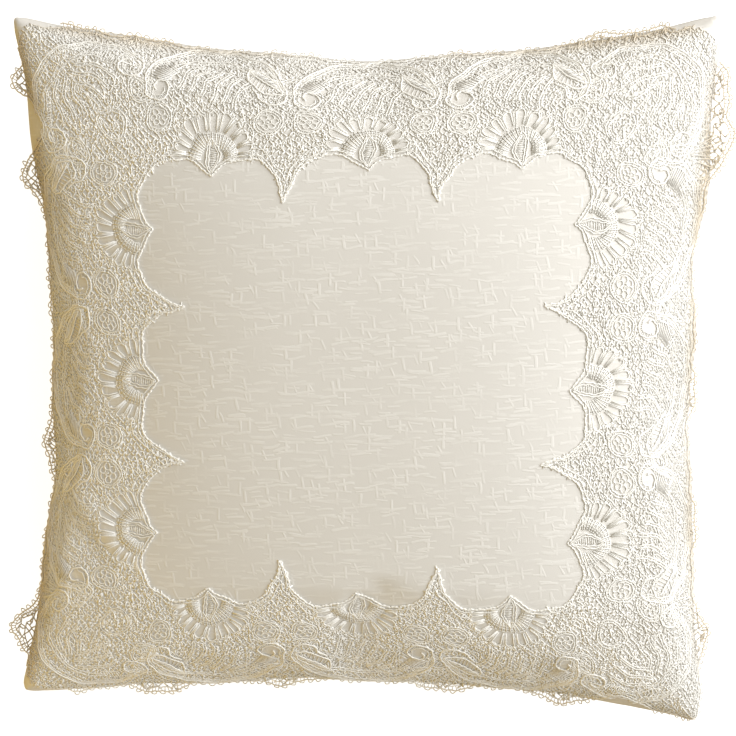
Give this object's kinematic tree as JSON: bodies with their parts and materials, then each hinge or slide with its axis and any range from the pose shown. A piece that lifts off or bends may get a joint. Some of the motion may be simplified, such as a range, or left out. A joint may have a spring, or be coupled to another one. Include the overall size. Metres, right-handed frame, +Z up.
{
  "type": "ring bearer pillow",
  "caption": "Square stuffed ceremonial pillow with a removable satin cover, a wide scalloped lace border and a zip across the back.",
  "frame": {"origin": "the middle of the flat patch on the back that the pillow rests on", "axes": "+Z up out of the lace-edged front, X along the zip, and the zip near the -Y edge"},
  "size_m": [0.25, 0.25, 0.0795],
  "materials": {
    "satin": "satin",
    "backing": "satin",
    "case_cotton": "matte",
    "wadding": "matte",
    "lace": "matte",
    "zip_tape": "matte",
    "zip_coil": "satin",
    "zip_metal": "polished"
  },
  "bodies": {
    "pillow": {"front_panel": "satin", "back_panel_upper": "backing", "back_panel_lower": "backing", "insert_case_front": "case_cotton", "insert_case_back": "case_cotton", "insert_filling": "wadding", "lace_top": "lace", "lace_right": "lace", "lace_bottom": "lace", "lace_left": "lace", "zip_tape_upper": "zip_tape", "zip_tape_lower": "zip_tape", "zip_coil_upper": "zip_coil", "zip_coil_lower": "zip_coil", "zip_stop_top_upper": "zip_metal", "zip_stop_top_lower": "zip_metal", "zip_stop_bottom": "zip_metal"},
    "slider": {"zip_slider": "zip_metal"},
    "pull": {"zip_pull": "zip_metal"}
  },
  "joints": [
    {"name": "zip_slide", "type": "slide", "parent": "pillow", "child": "slider", "axis": [-1, 0, 0], "range_m": [0, 0.112]},
    {"name": "pull_flip", "type": "hinge", "parent": "slider", "child": "pull", "pos_m": [0.056, -0.10347, 0.01681], "axis": [0, -0.762, 0.6476], "range_deg": [-85, 85]}
  ]
}
